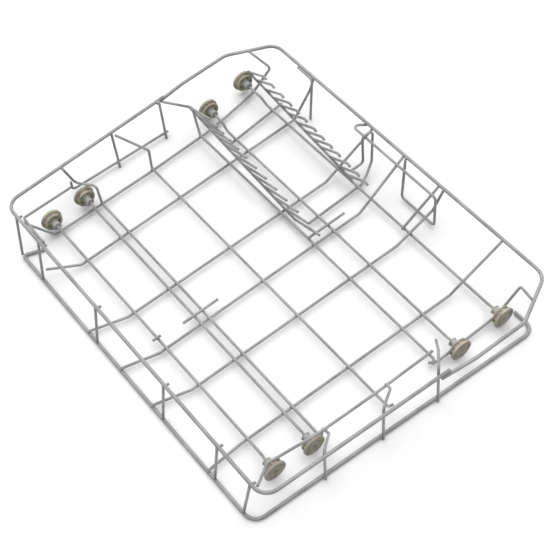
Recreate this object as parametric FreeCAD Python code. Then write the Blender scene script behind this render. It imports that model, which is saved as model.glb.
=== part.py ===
import FreeCAD, Part
import math
import os
from FreeCAD import Vector

os.makedirs("parts", exist_ok=True)

# Sizes in millimetres. X runs across the basket, Y from its front to its back, Z up.
# Places along Y are counted from the front of the wire net. The finished shapes are moved back
# by middleY, so the origin lies on the floor in the middle of the outline.
rimThick = 4.5
wireThick = 3.4
weldGap = 0.1
bendRadius = 5.0
flatTurn = math.radians(42)
middleY = 205.75

rimHeight = 68.0
backRimHeight = 63.5
railHeight = 39.6
axleRise = 9.0

rimFrontY = 6.5
rimBackY = 417.0
rimFrontX = 252.0
rimEndX = 264.2
rimWidestX = 272.0
rimWidestY = 356.0
rimBackX = 242.0
lowFrontY = -5.5

wheelRadius = 14.0
wheelWidth = 8.6
hubRadius = 5.0
hubReach = 8.0
hubDepth = 6.3
endHole = 2.2
runningGap = 0.08

rimHalf = rimThick / 2
wireHalf = wireThick / 2
lowZ = rimHalf
longZ = lowZ + rimHalf + weldGap + wireHalf
crossZ = longZ + wireThick + weldGap
tieZ = crossZ + wireThick + weldGap
axleZ = crossZ + axleRise
besideRim = rimHalf + weldGap + wireHalf
underRim = rimHeight - besideRim
shelfHeight = backRimHeight - besideRim
besideWire = wireThick + weldGap


def save(shape, name):
    moved = shape.copy()
    moved.translate(Vector(0, -middleY, 0))
    moved.exportStep("parts/" + name + ".step")


def rod(start, end, thick):
    axis = end - start
    return Part.makeCylinder(thick / 2, axis.Length, start, axis)


# A round wire swept along straight runs. Each bend is cut by flats: one for a slack bend, more for a sharp one.
def bent(places, thick=wireThick, radius=bendRadius):
    points = [Vector(*place) for place in places]
    path = [points[0]]
    for i in range(1, len(points) - 1):
        before = points[i - 1] - points[i]
        after = points[i + 1] - points[i]
        turn = math.pi - before.getAngle(after)
        flats = round(turn / flatTurn)
        if flats == 0:
            path.append(points[i])
            continue
        wanted = radius[i] if isinstance(radius, list) else radius
        reach = min(wanted * math.tan(turn / 2), 0.45 * before.Length, 0.45 * after.Length)
        before.normalize()
        after.normalize()
        bend = reach / math.tan(turn / 2)
        centre = points[i] + (before + after).normalize() * (bend / math.cos(turn / 2))
        axis = before.cross(after)
        start = points[i] + before * reach - centre
        for step in range(flats + 1):
            corner = FreeCAD.Rotation(axis, math.degrees(-turn * step / flats)).multVec(start)
            path.append(centre + corner)
    path.append(points[-1])
    ring = Part.Wire(Part.Circle(path[0], path[1] - path[0], thick / 2).toShape())
    sweep = Part.BRepOffsetAPI.MakePipeShell(Part.makePolygon(path))
    sweep.setTransitionMode(1)
    sweep.add(ring)
    sweep.build()
    sweep.makeSolid()
    return sweep.shape()


# The two halves of the rim and the wire the basket stands on.
def mirrored(half):
    return [(-x, y, z) for x, y, z in half] + [(x, y, z) for x, y, z in reversed(half)]


def makeRimFront():
    half = [(rimEndX, 252, rimHeight), (rimFrontX, rimFrontY, rimHeight)]
    return bent(mirrored(half), rimThick, 18)


def makeRimBack():
    half = [
        (rimEndX + 0.4, 240, backRimHeight), (rimWidestX - 2, 285, backRimHeight),
        (rimWidestX, rimWidestY, backRimHeight), (rimBackX, rimBackY, backRimHeight),
    ]
    return bent(mirrored(half), rimThick, 20)


def makeLowFrame():
    places = [(-213, 20, lowZ), (-223, lowFrontY, lowZ), (241, lowFrontY, lowZ), (262.5, 389, lowZ), (231, 389, lowZ)]
    return bent(places, rimThick, [0, 8, 16, 17, 0])


save(makeRimFront(), "rim_wire_front")
save(makeRimBack(), "rim_wire_back")
save(makeLowFrame(), "low_frame_wire")


# Upright posts. Each stands on the low frame wire and hooks under the rim.
frontPosts = [(-223, -227), (-175, -178), (-56, -56), (77, 77), (174, 174), (225, 230)]


def makeFrontPost(lowX, topX):
    foot = rimThick + 3 * weldGap
    return bent([(lowX, lowFrontY, foot), (topX, rimFrontY - 1.5, underRim), (topX, rimFrontY + 6, underRim)], radius=3)


for i, (lowX, topX) in enumerate(frontPosts):
    save(makeFrontPost(lowX, topX), "front_post_%d" % (i + 1))


# Cross wires. Both ends of four of them rise and carry a wheel.
axleWires = [
    (1, 50, (-227, 48), (207.4, 47)),
    (2, 100.9, (-231, 99.5), (211.4, 98)),
    (5, 303.8, (-242, 304), (227.4, 300)),
    (6, 370.1, (-251, 368), (227.4, 366)),
]
axleInHub = 5.8
riseRun = 9.0


def makeAxleWire(y, left, right):
    leftX, leftY = left
    rightX, rightY = right
    leftKink = -208
    rightKink = rightX - 20
    return bent([
        (leftX - axleInHub, leftY, axleZ),
        (leftKink - riseRun, leftY, axleZ),
        (leftKink, y, crossZ),
        (rightKink, y, crossZ),
        (rightKink + riseRun, rightY, axleZ),
        (rightX + axleInHub, rightY, axleZ),
    ], radius=4)


# Corners of the turned outlines are (along the axle, radius). The inner face of the wheel is at 0.
def makeWheel():
    bore = hubRadius + runningGap
    flange = 2.3
    treadRadius = 10.2
    pocketDepth = 3.0
    pocketInner = 6.5
    pocketOuter = 9.0
    ringInner = 7.6
    ringOuter = 11.2
    ringFloor = wheelWidth - 1.2
    endWall = wheelWidth - 1.9
    outline = [
        (0, bore), (0, pocketInner), (pocketDepth, pocketInner), (pocketDepth, pocketOuter), (0, pocketOuter),
        (0, wheelRadius), (flange, wheelRadius), (flange, treadRadius), (wheelWidth - flange, treadRadius),
        (wheelWidth - flange, wheelRadius), (wheelWidth, wheelRadius), (wheelWidth, ringOuter),
        (ringFloor, ringOuter), (ringFloor, ringInner), (wheelWidth, ringInner), (wheelWidth, endHole),
        (endWall, endHole), (endWall, bore),
    ]
    ribs = []
    ribCount = 5
    for i in range(ribCount):
        rib = Part.makeBox(wheelWidth - flange, 1.6, 3.0, Vector(flange / 2, -0.8, treadRadius - 0.8))
        rib.rotate(Vector(0, 0, 0), Vector(1, 0, 0), i * 360 / ribCount)
        ribs.append(rib)
    return turned(outline).fuse(ribs).removeSplitter()


def turned(outline):
    points = [Vector(x, 0, r) for x, r in outline]
    face = Part.Face(Part.makePolygon(points + [points[0]]))
    return face.revolve(Vector(0, 0, 0), Vector(1, 0, 0), 360)


def makeHub():
    outline = [
        (-hubReach, 0), (-hubReach, hubRadius + 0.7), (-hubReach + 1, hubRadius + 0.7), (-hubReach + 1, hubRadius),
        (hubDepth, hubRadius), (hubDepth, 0),
    ]
    bore = Part.makeCylinder(wireHalf + 0.05, hubReach + hubDepth + 2, Vector(-hubReach - 1, 0, 0), Vector(1, 0, 0))
    return turned(outline).cut(bore)


def placeRoller(shape, side, x, y):
    placed = shape.copy()
    if side < 0:
        placed.rotate(Vector(0, 0, 0), Vector(0, 0, 1), 180)
    placed.translate(Vector(x, y, axleZ))
    return placed


wheel = makeWheel()
hub = makeHub()
for i, (number, y, left, right) in enumerate(axleWires):
    save(makeAxleWire(y, left, right), "cross_wire_%d" % number)
    save(placeRoller(wheel, -1, *left), "wheel_left_%d" % (i + 1))
    save(placeRoller(hub, -1, *left), "wheel_bush_left_%d" % (i + 1))
    save(placeRoller(wheel, 1, *right), "wheel_right_%d" % (i + 1))
    save(placeRoller(hub, 1, *right), "wheel_bush_right_%d" % (i + 1))

# Cross wires whose ends climb to the rim.
crossWires = {
    "cross_wire_3": [
        (-252, 89, rimHeight - 2), (-259, 102, 22.6), (-222, 113, 42.6), (-219, 112.8, crossZ),
        (204, 112.8, crossZ), (211.5, 114.4, crossZ), (216.2, 114.4, 43.8), (251.6, 87, rimHeight + 4),
        (250.3, 87, wireHalf),
    ],
    "cross_wire_4": [
        (-255, 169, rimHeight - 2), (-226, 196, 40.6), (-223, 193.3, crossZ), (232, 193.3, crossZ),
        (255, 178, rimHeight - 2),
    ],
    "cross_wire_7": [
        (-259.6, 246, rimHeight - 1.5), (-247, 280, 40.6), (-226, 273, crossZ), (219, 273, crossZ),
        (224, 268, crossZ),
    ],
}
for name, places in crossWires.items():
    save(bent(places), name)

# Long wires, from the front of the low frame to the rim at the back.
longWires = {
    "long_wire_left": [
        (-231.5, 12.3, 45.6), (-220, 42, longZ), (-222, 190, longZ), (-226, 280, longZ), (-230, 312, longZ),
        (-240, 370, longZ), (-229, 396, 45.6), (-253.8, 383.5, backRimHeight + 0.5),
    ],
    "long_wire_1": [
        (-172.8, 1.5, 20), (-160, 41, longZ), (-166.8, 383, longZ), (-167, 411, 41),
        (-164.5, 416.5, backRimHeight - 2.9),
    ],
    "long_wire_2": [(-74, -6, longZ), (-59.6, 41, longZ), (-59.6, 347, longZ), (-50, 415, backRimHeight - 1.7)],
    "long_wire_3": [(-7, -6, longZ), (5.7, 41, longZ), (5.7, 347, longZ), (8, 415, backRimHeight - 1.7)],
    "long_wire_4": [
        (56, -6, longZ), (69.3, 41, longZ), (72.7, 348, longZ), (73, 405, 27.6), (78.5, 414.6, backRimHeight - 2.5),
    ],
    "long_wire_5": [(162, -6, longZ), (159.4, 41, longZ), (166.5, 347, longZ), (176.5, 415, backRimHeight - 1.7)],
}
for name, places in longWires.items():
    save(bent(places), name)

# Side rail, corner wires and the posts of the two sides.
sideWires = {
    "side_rail_right": [
        (236, 11, rimHeight - 1), (211, 41, railHeight), (219, 104, railHeight), (222, 180, railHeight),
        (223, 266, railHeight),
    ],
    "side_post_right_1": [
        (217, 204, railHeight + besideWire), (228, 196, railHeight + besideWire), (252.5, 168, rimHeight),
        (254.6, 166, wireHalf),
    ],
    "side_post_right_2": [(210, 284, 27.6), (227, 271, 41), (257, 242, rimHeight + 3), (258.8, 243, wireHalf)],
    "low_side_wire_left": [(-263, 247, longZ), (-265, 104, longZ), (-264, 98, 19)],
    "side_post_left_1": [(-260.3, 167, 0), (-260.3, 167, rimHeight - 2.5)],
    "side_post_left_2": [(-259.3, 241, 0), (-259.3, 241, rimHeight + 2)],
    "corner_wire_left": [(-261, 94, 17.6), (-236, 16, 47.6), (-171.5, 11, rimHeight - 6.5)],
    "inner_wire_right": [
        (218, 266, longZ), (223, 275, longZ), (222.5, 366.5, longZ), (228, 396, 45.6),
        (253.8, 383.5, backRimHeight + 0.5),
    ],
}
for name, places in sideWires.items():
    save(bent(places), name)

# Short wires on and under the net.
shortWires = {
    "short_wire_left": [(-190, 295, longZ), (-200, 388, longZ)],
    "short_wire_front_1": [(-9, 43, tieZ), (-9, 54, tieZ)],
    "short_wire_front_2": [(-5, 84, tieZ), (-5, 135, tieZ)],
    "short_wire_back": [(-3, 271, tieZ), (-3, 329, tieZ)],
}
for name, places in shortWires.items():
    save(rod(Vector(*places[0]), Vector(*places[1]), wireThick), name)

# Wires at the back.
backWires = {
    "rear_post": [
        (-192, rimBackY - besideRim, backRimHeight), (-163, rimBackY - besideRim, backRimHeight), (-156, 401, 2.6),
    ],
    "rear_frame": [
        (13.5, 413.6, backRimHeight - 1.6), (20, 403, 4.6), (79, 403, 4.6), (79, 402.5, shelfHeight), (-74, 402.5, shelfHeight),
        (-61, 418, shelfHeight),
    ],
    "rear_strut": [(61, 366.5, 11.3), (70, 414.8, backRimHeight - 2)],
    "hook_wire_right": [
        (-48, 380, tieZ), (-48, 398.5, tieZ), (-48, 398.5, backRimHeight + 0.5),
        (-45, 412.3, backRimHeight + 3), (-41, 407, 16), (-34, 392, longZ), (-27, 377, longZ), (-24, 290, longZ),
    ],
}
for name, places in backWires.items():
    save(bent(places), name)


# Rows of slanted tines, each row welded on its own base wire.
def makeTineRow(start, end, roots, tine, tip):
    base = rod(Vector(*start), Vector(*end), wireThick)
    run = (end[1] - start[1]) / (end[0] - start[0])
    tines = []
    for x in roots:
        root = Vector(x, start[1] + run * (x - start[0]), crossZ)
        places = [root, root + Vector(*tine)]
        if tip:
            places.append(places[1] + Vector(*tip))
        tines.append(bent(places, radius=2.5))
    return base.fuse(tines)


middleRoots = [-239, -223, -204, -183, -163, -144, -124, -103, -83, -64, -44, -25]
backRoots = [-220, -201, -182, -153, -137, -121, -105, -90, -70, -52]
save(makeTineRow((-241, 289.5, crossZ), (-10, 280, crossZ), middleRoots, (50, 0, 17), None), "tine_row_middle")
save(makeTineRow((-245, 383, crossZ), (-45, 375, crossZ), backRoots, (24, 0, 18.5), (6.5, 0, -2.5)), "tine_row_back")
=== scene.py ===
import math
import bmesh
import bpy
from mathutils import Matrix, Vector
from mathutils.geometry import intersect_line_line


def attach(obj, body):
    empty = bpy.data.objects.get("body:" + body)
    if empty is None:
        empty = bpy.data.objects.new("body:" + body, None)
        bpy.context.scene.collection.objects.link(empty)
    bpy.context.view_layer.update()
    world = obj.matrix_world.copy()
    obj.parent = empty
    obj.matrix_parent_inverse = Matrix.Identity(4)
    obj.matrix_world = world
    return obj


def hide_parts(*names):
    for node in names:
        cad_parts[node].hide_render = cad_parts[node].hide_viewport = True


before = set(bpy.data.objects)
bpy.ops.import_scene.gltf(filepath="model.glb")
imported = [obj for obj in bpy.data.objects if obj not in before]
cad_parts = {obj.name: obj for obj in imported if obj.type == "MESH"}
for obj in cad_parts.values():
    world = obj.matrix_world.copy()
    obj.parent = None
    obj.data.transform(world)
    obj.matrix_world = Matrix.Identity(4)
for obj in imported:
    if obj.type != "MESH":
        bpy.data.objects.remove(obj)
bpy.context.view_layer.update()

print("frame loaded", len(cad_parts), "nodes")

# Lengths of the wires and rollers are millimetres. Y is counted from the front of the net, as in the part.
layout = {
    "middleY": 205.75, "ringSegments": 16, "bendSteps": 6, "bendTurn": 1.4, "bendShare": 0.45,
    "endRounding": ((0.88, 0.14), (0.55, 0.16)),
}
levels = {
    "low": 2.25, "long": 6.3, "cross": 9.8, "tie": 13.3, "axle": 18.8, "rail": 39.6, "shelf": 59.45,
    "backRim": 63.5, "under": 63.95, "rim": 68.0,
}


class Socket:
    def __init__(self, tree, link):
        self.tree = tree
        self.link = link

    def node(self, kind, settings=None, outputName=None, **inputs):
        made = self.tree.nodes.new(kind)
        settings = settings or {}
        for key, value in settings.items():
            if key == "stops":
                ramp = made.color_ramp.elements
                for index, (place, colour) in enumerate(value):
                    stop = ramp[index] if index < len(ramp) else ramp.new(place)
                    stop.position = place
                    stop.color = colour
            else:
                setattr(made, key, value)
        for key, value in inputs.items():
            name = key.replace("_", " ")
            usable = [s for s in made.inputs if s.enabled]
            target = usable[int(key[1:])] if key[0] == "s" and key[1:].isdigit() else made.inputs[name]
            if isinstance(value, Socket):
                self.tree.links.new(value.link, target)
            else:
                target.default_value = value
        outs = [s for s in made.outputs if s.enabled]
        return Socket(self.tree, made.outputs[outputName] if outputName else outs[0])

    def maths(self, operation, first, second):
        return self.node("ShaderNodeMath", {"operation": operation}, s0=first, s1=second)

    def __add__(self, other):
        return self.maths("ADD", self, other)

    __radd__ = __add__

    def __sub__(self, other):
        return self.maths("SUBTRACT", self, other)

    def __rsub__(self, other):
        return self.maths("SUBTRACT", other, self)

    def __mul__(self, other):
        return self.maths("MULTIPLY", self, other)

    __rmul__ = __mul__

    def mix(self, first, second):
        return self.node("ShaderNodeMix", {"data_type": "RGBA"}, s0=self, s1=first, s2=second)


def newMaterial(name):
    material = bpy.data.materials.new(name)
    material.use_nodes = True
    tree = material.node_tree
    shader = next(n for n in tree.nodes if n.type == "BSDF_PRINCIPLED")
    coords = tree.nodes.new("ShaderNodeTexCoord")
    return material, tree, shader, Socket(tree, coords.outputs["Object"])


def plug(tree, shader, **values):
    for key, value in values.items():
        target = shader.inputs[key.replace("_", " ")]
        if isinstance(value, Socket):
            tree.links.new(value.link, target)
        else:
            target.default_value = value


coatLook = {
    "light": (0.36, 0.368, 0.366, 1), "dark": (0.24, 0.246, 0.244, 1), "grime": (0.12, 0.121, 0.117, 1),
    "patch": 38, "speck": 900, "orangePeel": 620, "toneStops": (0.36, 0.66), "speckStops": (0.66, 0.80),
    "grimeShare": 0.5, "roughness": 0.22, "roughSpread": 0.14, "bumpStrength": 0.12, "bumpDistance": 0.0004,
    "glazeWeight": 0.60, "glazeSpread": 0.15, "glazeRoughness": 0.14, "refraction": 1.48,
}


# A ramp between black and white that starts and ends at the two given levels.
def blackWhite(source, stops, start=(0, 0, 0, 1), end=(1, 1, 1, 1)):
    ends = [(stops[0], start), (stops[1], end)]
    return source.node("ShaderNodeValToRGB", {"stops": ends}, "Color", Fac=source)


def makeCoatMaterial(look, name):
    material, tree, shader, place = newMaterial(name)
    patch = place.node("ShaderNodeTexNoise", None, "Fac", Vector=place, Scale=look["patch"], Detail=5.0)
    speck = place.node("ShaderNodeTexNoise", None, "Fac", Vector=place, Scale=look["speck"], Detail=3.0)
    peel = place.node("ShaderNodeTexNoise", None, "Fac", Vector=place, Scale=look["orangePeel"], Detail=2.0)
    tone = blackWhite(patch, look["toneStops"])
    spots = blackWhite(speck, look["speckStops"])
    base = tone.mix(look["dark"], look["light"])
    colour = (spots * look["grimeShare"]).mix(base, look["grime"])
    bump = peel.node(
        "ShaderNodeBump", None, "Normal", Height=peel, Strength=look["bumpStrength"],
        Distance=look["bumpDistance"])
    roughness = patch * look["roughSpread"] + look["roughness"]
    plug(tree, shader, Base_Color=colour, Roughness=roughness, Normal=bump, IOR=look["refraction"])
    glaze = look["glazeWeight"] - speck * look["glazeSpread"]
    plug(tree, shader, Coat_Weight=glaze, Coat_Roughness=look["glazeRoughness"])
    return material


wheelLook = {
    "light": (0.52, 0.49, 0.40, 1), "dark": (0.36, 0.335, 0.265, 1), "dirt": (0.17, 0.155, 0.12, 1),
    "patch": 90, "grain": 1800, "roughness": 0.42,
}
bushLook = {
    "light": (0.52, 0.53, 0.50, 1), "dark": (0.40, 0.41, 0.385, 1), "dirt": (0.24, 0.235, 0.21, 1),
    "patch": 140, "grain": 2200, "roughness": 0.38,
}
plasticLook = {
    "toneStops": (0.35, 0.68), "stainStops": (0.30, 0.44), "stainShare": 0.55, "roughSpread": 0.2,
    "bumpStrength": 0.2, "bumpDistance": 0.0003, "refraction": 1.46,
}


def makePlasticMaterial(look, name):
    material, tree, shader, place = newMaterial(name)
    patch = place.node("ShaderNodeTexNoise", None, "Fac", Vector=place, Scale=look["patch"], Detail=4.0)
    grain = place.node("ShaderNodeTexNoise", None, "Fac", Vector=place, Scale=look["grain"], Detail=2.0)
    tone = blackWhite(patch, plasticLook["toneStops"])
    stain = blackWhite(patch, plasticLook["stainStops"], start=(1, 1, 1, 1), end=(0, 0, 0, 1))
    base = tone.mix(look["dark"], look["light"])
    colour = (stain * plasticLook["stainShare"]).mix(base, look["dirt"])
    bump = grain.node(
        "ShaderNodeBump", None, "Normal", Height=grain, Strength=plasticLook["bumpStrength"],
        Distance=plasticLook["bumpDistance"])
    roughness = grain * plasticLook["roughSpread"] + look["roughness"]
    plug(tree, shader, Base_Color=colour, Roughness=roughness, Normal=bump, IOR=plasticLook["refraction"])
    return material


coat = makeCoatMaterial(coatLook, "coatedWire")
wheelPlastic = makePlasticMaterial(wheelLook, "wheelPlastic")
bushPlastic = makePlasticMaterial(bushLook, "bushPlastic")
slotMaterials = {"wire_coat": coat, "wheel_plastic": wheelPlastic, "bush_plastic": bushPlastic}
print("materials made")


# A place from the dictionaries, in metres and in the frame of the part. A height may be the name of a level.
def scaled(place):
    x, y, z = place
    z = levels.get(z, z)
    return Vector((x, y - layout["middleY"], z)) * 0.001


# Straight runs with rounded corners, as (centre, direction) stations along the wire.
def wireStations(places, bend):
    points = [scaled(place) for place in places]
    count = len(points)
    bends = bend if isinstance(bend, list) else [bend] * count
    stations = []
    for i in range(count):
        if i in (0, count - 1):
            other = points[1] if i == 0 else points[i - 1]
            direction = (other - points[i]) * (1 if i == 0 else -1)
            stations.append((points[i], direction.normalized()))
            continue
        before = points[i - 1] - points[i]
        after = points[i + 1] - points[i]
        turn = math.pi - before.angle(after)
        if bends[i] == 0:
            stations.append((points[i], after.normalized()))
            continue
        longest = layout["bendShare"] * min(before.length, after.length)
        reach = min(bends[i] * 0.001 * math.tan(turn / 2), longest)
        radius = reach / math.tan(turn / 2)
        inward = (before.normalized() + after.normalized()).normalized()
        centre = points[i] + inward * (radius / math.cos(turn / 2))
        axis = before.cross(after).normalized()
        first = points[i] + before.normalized() * reach - centre
        steps = max(2, round(layout["bendSteps"] * turn / layout["bendTurn"]))
        for step in range(steps + 1):
            spin = Matrix.Rotation(-turn * step / steps, 3, axis)
            stations.append((centre + spin @ first, spin @ -before.normalized()))
    return stations


# Sets a cross-section square to the wire, turned as little as possible from the one before.
def stationMatrix(centre, direction, previous):
    side = previous - direction * previous.dot(direction)
    side.normalize()
    other = direction.cross(side)
    basis = Matrix((side, other, direction)).transposed().to_4x4()
    return Matrix.Translation(centre) @ basis, side


def sweepTube(mesh, stations, radius):
    segments = layout["ringSegments"]
    side = stations[0][1].orthogonal()
    matrix, side = stationMatrix(*stations[0], side)
    made = bmesh.ops.create_circle(mesh, segments=segments, radius=radius, matrix=matrix)
    edges = list({e for v in made["verts"] for e in v.link_edges})
    startEdges = edges
    for centre, direction in stations[1:]:
        nextMatrix, side = stationMatrix(centre, direction, side)
        grown = bmesh.ops.extrude_edge_only(mesh, edges=edges)["geom"]
        verts = [g for g in grown if isinstance(g, bmesh.types.BMVert)]
        edges = [g for g in grown if isinstance(g, bmesh.types.BMEdge)]
        bmesh.ops.transform(mesh, matrix=nextMatrix @ matrix.inverted(), verts=verts)
        matrix = nextMatrix
    start, end = stations[0], stations[-1]
    for rim, centre, direction in ((startEdges, start[0], -start[1]), (edges, end[0], end[1])):
        for share, push in layout["endRounding"]:
            grown = bmesh.ops.extrude_edge_only(mesh, edges=rim)["geom"]
            verts = [g for g in grown if isinstance(g, bmesh.types.BMVert)]
            rim = [g for g in grown if isinstance(g, bmesh.types.BMEdge)]
            bmesh.ops.scale(mesh, vec=Vector((share,) * 3), space=Matrix.Translation(-centre), verts=verts)
            bmesh.ops.translate(mesh, vec=direction * radius * push, verts=verts)
        bmesh.ops.contextual_create(mesh, geom=rim)


def finishPiece(mesh, name, material, body, nodes=()):
    bmesh.ops.recalc_face_normals(mesh, faces=mesh.faces)
    data = bpy.data.meshes.new(name)
    mesh.to_mesh(data)
    mesh.free()
    for polygon in data.polygons:
        polygon.use_smooth = True
    data.materials.append(material)
    piece = bpy.data.objects.new(name, data)
    bpy.context.scene.collection.objects.link(piece)
    if nodes:
        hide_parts(*nodes)
    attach(piece, body)
    return piece


# The piece's name in the scene, from the name of its node.
def pieceName(node):
    words = node.split("_")
    return words[0] + "".join(word.title() for word in words[1:])


# Each wire: its node, thickness, bend radius or radii, and the corners it runs through.
wireValues = {
    "rim_wire_front": (4.5, 18, [
        (-264.2, 252, "rim"), (-252, 6.5, "rim"), (252, 6.5, "rim"), (264.2, 252, "rim")]),
    "rim_wire_back": (4.5, 20, [
        (-264.6, 240, "backRim"), (-270, 285, "backRim"), (-272, 356, "backRim"), (-242, 417, "backRim"),
        (242, 417, "backRim"), (272, 356, "backRim"), (270, 285, "backRim"), (264.6, 240, "backRim")]),
    "low_frame_wire": (4.5, [0, 4, 16, 17, 0], [
        (-213, 20, "low"), (-223, -5.5, "low"), (241, -5.5, "low"), (262.5, 389, "low"), (231, 389, "low")]),
    "cross_wire_1": (3.4, 4, [
        (-232.8, 48, "axle"), (-217, 48, "axle"), (-208, 50, "cross"),
        (187.4, 50, "cross"), (196.4, 47, "axle"), (213.2, 47, "axle")]),
    "cross_wire_2": (3.4, 4, [
        (-236.8, 99.5, "axle"), (-217, 99.5, "axle"), (-208, 100.9, "cross"),
        (191.4, 100.9, "cross"), (200.4, 98, "axle"), (217.2, 98, "axle")]),
    "cross_wire_5": (3.4, 4, [
        (-247.8, 304, "axle"), (-217, 304, "axle"), (-208, 303.8, "cross"),
        (207.4, 303.8, "cross"), (216.4, 300, "axle"), (233.2, 300, "axle")]),
    "cross_wire_6": (3.4, 4, [
        (-256.8, 368, "axle"), (-217, 368, "axle"), (-208, 370.1, "cross"),
        (207.4, 370.1, "cross"), (216.4, 366, "axle"), (233.2, 366, "axle")]),
    "cross_wire_3": (3.4, 5, [
        (-252, 89, 66), (-259, 102, 22.6), (-222, 113, 42.6), (-219, 112.8, "cross"), (204, 112.8, "cross"),
        (211.5, 114.4, "cross"), (214.5, 114.4, 32), (227, 113, 40.5), (251.6, 87, 72), (250.3, 87, 1.7)]),
    "cross_wire_4": (3.4, 5, [
        (-255, 169, 66), (-226, 196, 40.6), (-223, 193.3, "cross"), (232, 193.3, "cross"), (255, 178, 66)]),
    "cross_wire_7": (3.4, 5, [
        (-259.6, 246, 66.5), (-247, 280, 40.6), (-226, 273, "cross"), (219, 273, "cross"),
        (224, 268, "cross")]),
    "long_wire_left": (3.4, 5, [
        (-231.5, 12.3, 45.6), (-220, 42, "long"), (-222, 190, "long"), (-226, 280, "long"),
        (-230, 312, "long"), (-240, 370, "long"), (-229, 396, 45.6), (-253.8, 383.5, 64)]),
    "long_wire_1": (3.4, 5, [
        (-172.8, 1.5, 20), (-160, 41, "long"), (-166.8, 383, "long"), (-167, 411, 41),
        (-164.5, 416.5, 60.6)]),
    "long_wire_2": (3.4, 5, [(-74, -6, "long"), (-59.6, 41, "long"), (-59.6, 347, "long"), (-50, 415, 61.8)]),
    "long_wire_3": (3.4, 5, [(-7, -6, "long"), (5.7, 41, "long"), (5.7, 347, "long"), (8, 415, 61.8)]),
    "long_wire_4": (3.4, 5, [
        (56, -6, "long"), (69.3, 41, "long"), (72.7, 348, "long"), (73, 405, 27.6), (78.5, 414.6, 61)]),
    "long_wire_5": (3.4, 5, [
        (162, -6, "long"), (159.4, 41, "long"), (166.5, 347, "long"), (176.5, 415, 61.8)]),
    "side_rail_right": (3.4, 5, [
        (236, 11, 67), (211, 41, "rail"), (219, 104, "rail"), (222, 180, "rail"), (223, 266, "rail")]),
    "side_post_right_1": (3.4, 5, [
        (222.8, 198.4, 43.1), (229.7, 198, 43.1), (252.5, 168, 68), (254.6, 166, 1.7)]),
    "side_post_right_2": (3.4, 5, [(210, 284, 27.6), (227, 271, 41), (257, 242, 71), (258.8, 243, 1.7)]),
    "low_side_wire_left": (3.4, 5, [(-263, 247, "long"), (-265.6, 97.8, "long"), (-264.6, 98.2, 22.5)]),
    "side_post_left_1": (3.4, 5, [(-260.3, 167, 0), (-260.3, 167, 65.5)]),
    "side_post_left_2": (3.4, 5, [(-259.3, 241, 0), (-259.3, 241, 70)]),
    "corner_wire_left": (3.4, 5, [(-261, 94, 17.6), (-236, 16, 47.6), (-171.5, 11, 61.5)]),
    "inner_wire_right": (3.4, 5, [
        (218, 266, "long"), (223, 275, "long"), (222.5, 366.5, "long"), (228, 396, 45.6),
        (253.8, 383.5, 64)]),
    "front_post_1": (3.4, 3, [(-223, -5.5, 4.8), (-227, 5, "under"), (-227, 12.5, "under")]),
    "front_post_2": (3.4, 3, [(-175, -5.5, 4.8), (-178, 5, "under"), (-178, 12.5, "under")]),
    "front_post_3": (3.4, 3, [(-56, -5.5, 4.8), (-56, 5, "under"), (-56, 12.5, "under")]),
    "front_post_4": (3.4, 3, [(77, -5.5, 4.8), (77, 5, "under"), (77, 12.5, "under")]),
    "front_post_5": (3.4, 3, [(174, -5.5, 4.8), (174, 5, "under"), (174, 12.5, "under")]),
    "front_post_6": (3.4, 3, [(225, -5.5, 4.8), (230, 5, "under"), (230, 12.5, "under")]),
    "short_wire_left": (3.4, 5, [(-190, 295, "long"), (-200, 388, "long")]),
    "short_wire_front_1": (3.4, 5, [(-9, 43, "tie"), (-9, 54, "tie")]),
    "short_wire_front_2": (3.4, 5, [(-5, 84, "tie"), (-5, 135, "tie")]),
    "short_wire_back": (3.4, 5, [(-3, 271, "tie"), (-3, 329, "tie")]),
    "rear_post": (3.4, 5, [(-192, 412.95, "backRim"), (-163, 412.95, "backRim"), (-156, 401, 2.6)]),
    "rear_frame": (3.4, 5, [
        (13.5, 413.6, 61.9), (20, 403, 4.6), (79, 403, 4.6), (79, 402.5, "shelf"), (-74, 402.5, "shelf"),
        (-61, 418, "shelf")]),
    "rear_strut": (3.4, 5, [(61, 366.5, 11.3), (70, 414.8, 61.5)]),
    "hook_wire_right": (3.4, 5, [
        (-48, 380, "tie"), (-48, 398.5, "tie"), (-48, 398.5, 64), (-45, 412.3, 66.5), (-41, 407, 16),
        (-34, 392, "long"), (-27, 377, "long"), (-24, 290, "long")]),
}
# The straight stretches of each wire are kept for the weld beads.
wireRuns = {}
for node, (thick, bend, places) in wireValues.items():
    wireMesh = bmesh.new()
    sweepTube(wireMesh, wireStations(places, bend), thick * 0.0005)
    finishPiece(wireMesh, pieceName(node), coat, "basket", [node])
    points = [scaled(place) for place in places]
    wireRuns[node] = [(points[i], points[i + 1], thick * 0.0005) for i in range(len(points) - 1)]
print("wires made", len(wireValues))

tineValues = {
    "tine_row_middle": {
        "base": [(-250.5, 276.8, 43), (-38.8, 280.6, 6.4)], "tine": (49.1, 0, 16.9), "tip": None,
        "roots": [-249.4, -235, -223, -209, -193.4, -178, -159, -140, -120.5, -101, -80.5, -60.6, -40.5],
    },
    "tine_row_back": {
        "base": [(-249.2, 373.2, 40), (-36, 370, 13.3)], "tine": (34.6, 0, 18.7), "tip": (5, 0, -2.2),
        "roots": [
            -247.5, -230.6, -211.4, -195, -179.8, -163.8, -145.5, -129.5, -113.7, -98, -79.3, -61.5, -45.4],
    },
    "radius": 0.0017, "bend": 2.5,
}


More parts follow.
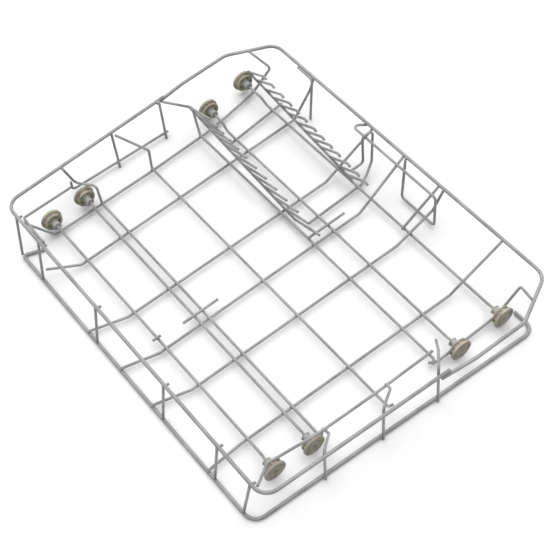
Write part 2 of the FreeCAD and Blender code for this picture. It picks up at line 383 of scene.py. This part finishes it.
def makeTineRow(node, values):
    mesh = bmesh.new()
    first, last = values["base"]
    sweepTube(mesh, wireStations(values["base"], 0), tineValues["radius"])
    for x in values["roots"]:
        share = (x - first[0]) / (last[0] - first[0])
        root = tuple(a + share * (b - a) for a, b in zip(first, last))
        places = [root, tuple(a + b for a, b in zip(root, values["tine"]))]
        if values["tip"]:
            places.append(tuple(a + b for a, b in zip(places[1], values["tip"])))
        sweepTube(mesh, wireStations(places, tineValues["bend"]), tineValues["radius"])
    finishPiece(mesh, pieceName(node), coat, "basket", [node])
    wireRuns[node] = [(scaled(first), scaled(last), tineValues["radius"])]


makeTineRow("tine_row_middle", tineValues["tine_row_middle"])
makeTineRow("tine_row_back", tineValues["tine_row_back"])
print("tine rows made")

# A small bead of coating fills each weld where two wires touch.
weldValues = {
    "reach": 0.9, "sink": 1.0, "leastCross": 0.15, "width": 1.9, "length": 2.6, "thick": 1.425,
    "segments": 12, "rings": 8,
}


def makeWelds(values):
    mesh = bmesh.new()
    names = sorted(wireRuns)
    count = 0
    for i, first in enumerate(names):
        for second in names[i + 1:]:
            for startA, endA, radiusA in wireRuns[first]:
                for startB, endB, radiusB in wireRuns[second]:
                    runA = endA - startA
                    runB = endB - startB
                    if runA.normalized().cross(runB.normalized()).length < values["leastCross"]:
                        continue
                    onA, onB = intersect_line_line(startA, endA, startB, endB)
                    shareA = max(0, min(1, (onA - startA).dot(runA) / runA.length_squared))
                    shareB = max(0, min(1, (onB - startB).dot(runB) / runB.length_squared))
                    onA = startA + runA * shareA
                    onB = startB + runB * shareB
                    gap = (onA - onB).length - radiusA - radiusB
                    if gap > values["reach"] * 0.001 or gap < -values["sink"] * 0.001:
                        continue
                    across = (onB - onA).normalized()
                    along = runA.normalized()
                    basis = stationMatrix(onA + across * (radiusA + gap / 2), across, along)[0]
                    size = Vector((values["length"], values["width"], values["thick"])) * 0.001
                    bmesh.ops.create_uvsphere(
                        mesh, u_segments=values["segments"], v_segments=values["rings"], radius=1,
                        matrix=basis @ Matrix.Diagonal((*size, 1)))
                    count += 1
    finishPiece(mesh, "weldBeads", coat, "basket")
    return count


print("weld beads", makeWelds(weldValues))

wheelValues = {
    "radius": 14.0, "width": 8.6, "bore": 5.08, "flange": 3.0, "tread": 9.9, "innerRadius": 12.2,
    "innerRim": 1.8, "pocketDepth": 3.0, "pocketInner": 6.5, "pocketOuter": 9.0, "ringInner": 7.6,
    "ringOuter": 11.2, "ringDepth": 1.2, "endWall": 1.9, "endHole": 2.2, "ribs": 5, "ribThick": 1.6,
    "pocketRibSink": 0.3, "pocketRibLap": 1.0, "treadRibRise": 0.4, "treadRibLap": 0.6, "treadRibDeep": 2.4,
    "ribBevel": 0.315, "bevel": 0.35, "turnSteps": 72,
}
hubValues = {
    "radius": 5.0, "collar": 5.7, "collarWide": 1.0, "bore": 1.75, "reach": 8.0, "depth": 6.3, "bevel": 0.3,
    "turnSteps": 48,
}
turnValues = {"mergeDistance": 0.000002, "sharpAngle": 0.6}
# Each roller: the side it faces, how far across it stands and how far back.
wheelPlaces = {
    "left_1": (-1, -227, 48), "left_2": (-1, -231, 99.5),
    "left_3": (-1, -242, 304), "left_4": (-1, -251, 368),
    "right_1": (1, 207.4, 47), "right_2": (1, 211.4, 98),
    "right_3": (1, 227.4, 300), "right_4": (1, 227.4, 366),
}


# Turns a closed outline of (along the axle, radius) corners round the X axis.
def turnOutline(mesh, outline, steps, bevel):
    verts = [mesh.verts.new(Vector((x, 0, r)) * 0.001) for x, r in outline]
    loop = [mesh.edges.new((verts[i - 1], verts[i])) for i in range(len(verts))]
    bmesh.ops.spin(
        mesh, geom=verts + loop, cent=(0, 0, 0), axis=(1, 0, 0), angle=math.tau, steps=steps, use_merge=True)
    bmesh.ops.remove_doubles(mesh, verts=mesh.verts, dist=turnValues["mergeDistance"])
    bmesh.ops.recalc_face_normals(mesh, faces=mesh.faces)
    sharp = [e for e in mesh.edges if e.is_manifold and e.calc_face_angle() > turnValues["sharpAngle"]]
    bmesh.ops.bevel(
        mesh, geom=sharp, offset=bevel * 0.001, offset_type="OFFSET", affect="EDGES", segments=2, profile=0.5,
        material=-1, clamp_overlap=True)


def makeWheelMesh(values):
    mesh = bmesh.new()
    width, flange, radius = values["width"], values["flange"], values["radius"]
    inner, outer = values["pocketInner"], values["pocketOuter"]
    floor, wall = width - values["ringDepth"], width - values["endWall"]
    depth, rimEdge, tread = values["pocketDepth"], values["innerRim"], values["tread"]
    turnOutline(mesh, [
        (0, values["bore"]), (0, inner), (depth, inner), (depth, outer), (0, outer),
        (0, values["innerRadius"]), (rimEdge, values["innerRadius"]), (rimEdge, tread),
        (width - flange, tread), (width - flange, radius), (width, radius),
        (width, values["ringOuter"]), (floor, values["ringOuter"]), (floor, values["ringInner"]),
        (width, values["ringInner"]), (width, values["endHole"]), (wall, values["endHole"]),
        (wall, values["bore"]),
    ], values["turnSteps"], values["bevel"])
    pocketRib = (
        values["pocketRibSink"] + depth / 2, (inner + outer) / 2,
        depth, outer - inner + values["pocketRibLap"])
    treadRib = (
        (rimEdge + width - flange) / 2, tread + values["treadRibRise"],
        width - flange - rimEdge + values["treadRibLap"], values["treadRibDeep"])
    for i in range(values["ribs"]):
        for along, out, long, deep in (pocketRib, treadRib):
            spot = Matrix.Rotation(math.tau * i / values["ribs"], 4, "X") @ Matrix.Translation(
                Vector((along, 0, out)) * 0.001)
            size = Matrix.Diagonal((*(Vector((long, values["ribThick"], deep)) * 0.001), 1))
            made = bmesh.ops.create_cube(mesh, size=1, matrix=spot @ size)
            edges = list({e for v in made["verts"] for e in v.link_edges})
            bmesh.ops.bevel(
                mesh, geom=edges, offset=values["ribBevel"] * 0.001, offset_type="OFFSET", affect="EDGES",
                segments=2, profile=0.5, material=-1, clamp_overlap=True)
    return mesh


def makeHubMesh(values):
    mesh = bmesh.new()
    start, edge = -values["reach"], values["collarWide"] - values["reach"]
    turnOutline(mesh, [
        (start, values["bore"]), (start, values["collar"]), (edge, values["collar"]),
        (edge, values["radius"]), (values["depth"], values["radius"]), (values["depth"], values["bore"]),
    ], values["turnSteps"], values["bevel"])
    return mesh


# The outlines face right, so a piece of the left side is turned round before it is put in place.
def placeRoller(mesh, side, x, y):
    if side < 0:
        bmesh.ops.rotate(mesh, cent=(0, 0, 0), matrix=Matrix.Rotation(math.pi, 3, "Z"), verts=mesh.verts)
    bmesh.ops.translate(mesh, vec=scaled((x, y, "axle")), verts=mesh.verts)
    return mesh


for key, (side, x, y) in wheelPlaces.items():
    wheelNode = "wheel_" + key
    wheelMesh = placeRoller(makeWheelMesh(wheelValues), side, x, y)
    finishPiece(wheelMesh, pieceName(wheelNode), wheelPlastic, wheelNode, [wheelNode])
    bushNode = "wheel_bush_" + key
    hubMesh = placeRoller(makeHubMesh(hubValues), side, x, y)
    finishPiece(hubMesh, pieceName(bushNode), bushPlastic, "basket", [bushNode])
print("rollers made")

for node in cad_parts.values():
    for slot in node.material_slots:
        name = slot.material.name.split(".")[0] if slot.material else ""
        slot.material = slotMaterials.get(name, coat)

# The floor's colour for bounced light is a dark painted shade, which darkens the undersides of the wires.
stageValues = {
    "floorSize": 12.0, "floorDrop": 0.0004, "floorColour": (0.97, 0.97, 0.97, 1), "floorRoughness": 0.9,
    "paintedShadeBounceColour": (0.10, 0.10, 0.10, 1), "worldStrength": 0.46,
    "keyEnergy": 92, "keySize": 4.2, "keyPlace": (-0.8, 0.5, 2.6),
    "fillEnergy": 8, "fillSize": 1.6, "fillPlace": (1.8, -1.4, 1.4),
}


# One where a ray from the camera, a mirror or clear matter meets the surface, and nought elsewhere.
def seenDirectly(tree):
    path = tree.nodes.new("ShaderNodeLightPath")
    names = ("Is Camera Ray", "Is Glossy Ray", "Is Transmission Ray")
    rays = [Socket(tree, path.outputs[name]) for name in names]
    return rays[0].node("ShaderNodeClamp", Value=rays[0] + rays[1] + rays[2])


def makeStage(values):
    mesh = bmesh.new()
    bmesh.ops.create_grid(mesh, x_segments=1, y_segments=1, size=values["floorSize"] / 2)
    bmesh.ops.translate(mesh, vec=(0, 0, -values["floorDrop"]), verts=mesh.verts)
    data = bpy.data.meshes.new("floor")
    mesh.to_mesh(data)
    mesh.free()
    floor = bpy.data.objects.new("floor", data)
    bpy.context.scene.collection.objects.link(floor)
    material, tree, shader = newMaterial("floorWhite")[:3]
    seen = seenDirectly(tree)
    # White where seen directly; all other light bouncing off the floor takes the dark colour, painting shade
    # on the wires' undersides.
    plug(tree, shader, Base_Color=seen.mix(values["paintedShadeBounceColour"], values["floorColour"]))
    plug(tree, shader, Roughness=values["floorRoughness"], Specular_IOR_Level=0.0)
    data.materials.append(material)

    world = bpy.data.worlds.new("studio")
    world.use_nodes = True
    bpy.context.scene.world = world
    tree = world.node_tree
    background = next(n for n in tree.nodes if n.type == "BACKGROUND")
    strength = seenDirectly(tree) * (1 - values["worldStrength"]) + values["worldStrength"]
    background.inputs["Color"].default_value = (1, 1, 1, 1)
    tree.links.new(strength.link, background.inputs["Strength"])

    for name, spot, energy, size in (
        ("keyLight", values["keyPlace"], values["keyEnergy"], values["keySize"]),
        ("fillLight", values["fillPlace"], values["fillEnergy"], values["fillSize"]),
    ):
        lamp = bpy.data.lights.new(name, "AREA")
        lamp.energy = energy
        lamp.size = size
        holder = bpy.data.objects.new(name, lamp)
        holder.location = spot
        holder.rotation_euler = (-Vector(spot)).to_track_quat("-Z", "Y").to_euler()
        bpy.context.scene.collection.objects.link(holder)


makeStage(stageValues)
print("stage made")

# The camera was matched to the photograph by its wires.
cameraValues = {
    "place": (0.720, -0.45675, 1.2415), "lens": 81.74, "shiftX": 0.0163, "shiftY": 0.0090,
    "right": (0.6192, 0.7818, -0.0734), "up": (-0.6238, 0.5466, 0.5586), "back": (0.4768, -0.3001, 0.8262),
}
cameraData = bpy.data.cameras.new("photoCamera")
cameraData.lens = cameraValues["lens"]
cameraData.shift_x = cameraValues["shiftX"]
cameraData.shift_y = cameraValues["shiftY"]
camera = bpy.data.objects.new("photoCamera", cameraData)
axes = Matrix((cameraValues["right"], cameraValues["up"], cameraValues["back"])).transposed()
turned = axes.to_quaternion().to_matrix().to_4x4()
camera.matrix_world = Matrix.Translation(Vector(cameraValues["place"])) @ turned
bpy.context.scene.collection.objects.link(camera)
bpy.context.scene.camera = camera
bpy.context.scene.view_settings.view_transform = "Standard"
